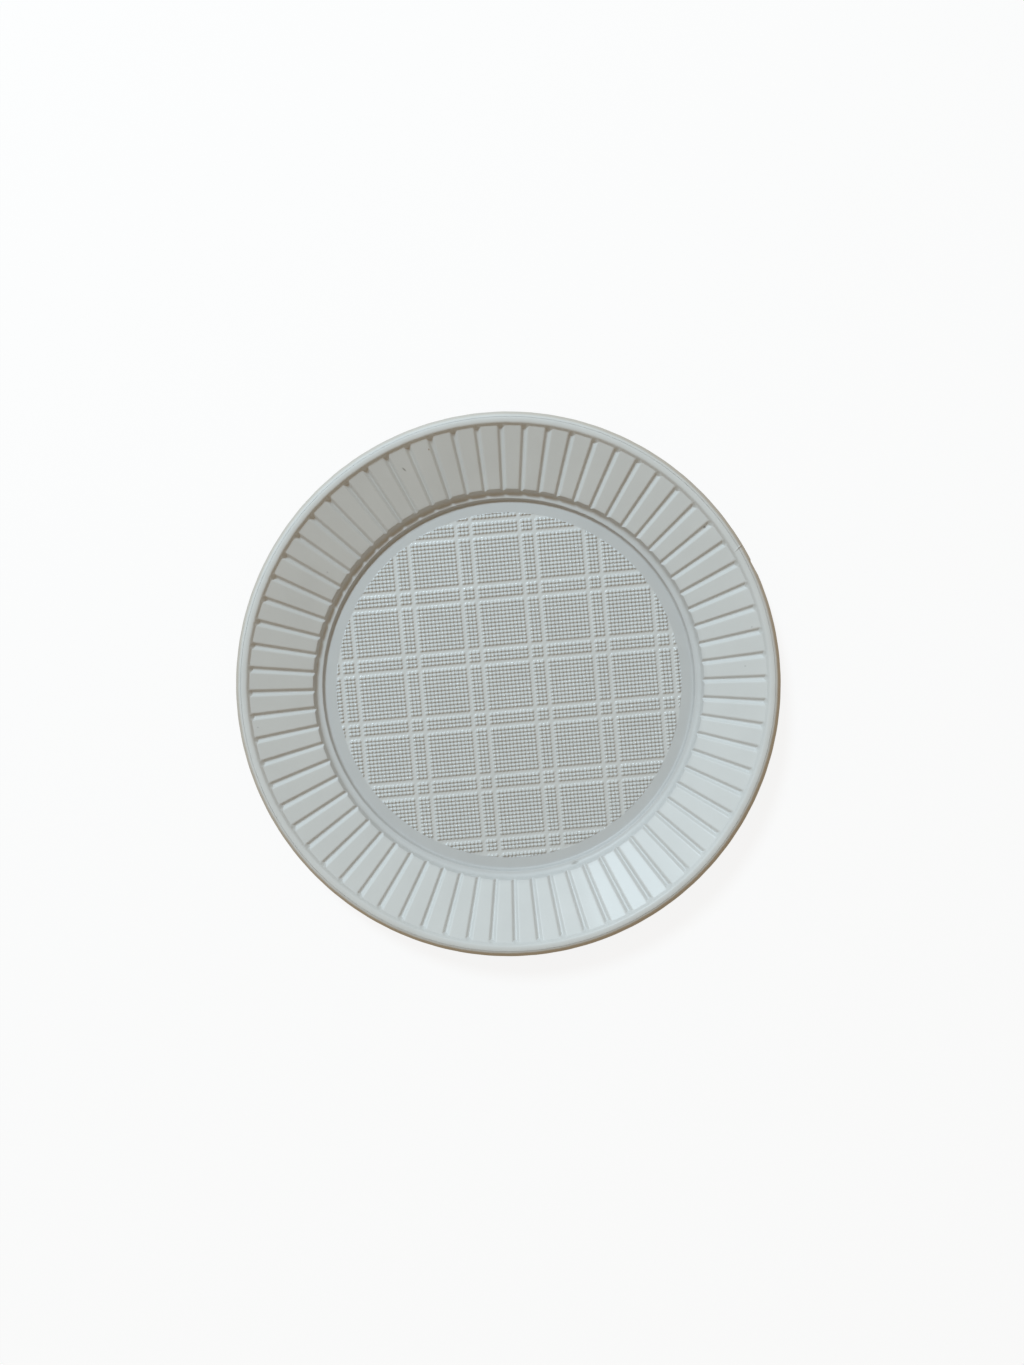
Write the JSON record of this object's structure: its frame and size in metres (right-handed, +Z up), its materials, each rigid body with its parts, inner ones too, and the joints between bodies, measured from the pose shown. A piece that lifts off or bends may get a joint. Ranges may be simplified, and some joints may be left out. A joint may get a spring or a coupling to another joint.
{
  "type": "disposable plate",
  "caption": "Round disposable plate formed from thin plastic sheet, with a rounded rim, a wall of raised pads, two small steps and a checked floor.",
  "frame": {"origin": "centre of the plate, on the plane that it rests on", "axes": "+Z up out of the plate along its axis; +X and +Y along the rows of the checked floor"},
  "size_m": [0.2202, 0.2202, 0.02],
  "materials": {
    "formed_sheet": "satin, greyish white and slightly translucent polystyrene sheet"
  },
  "bodies": {
    "root": {"plate": "formed_sheet"}
  },
  "joints": []
}
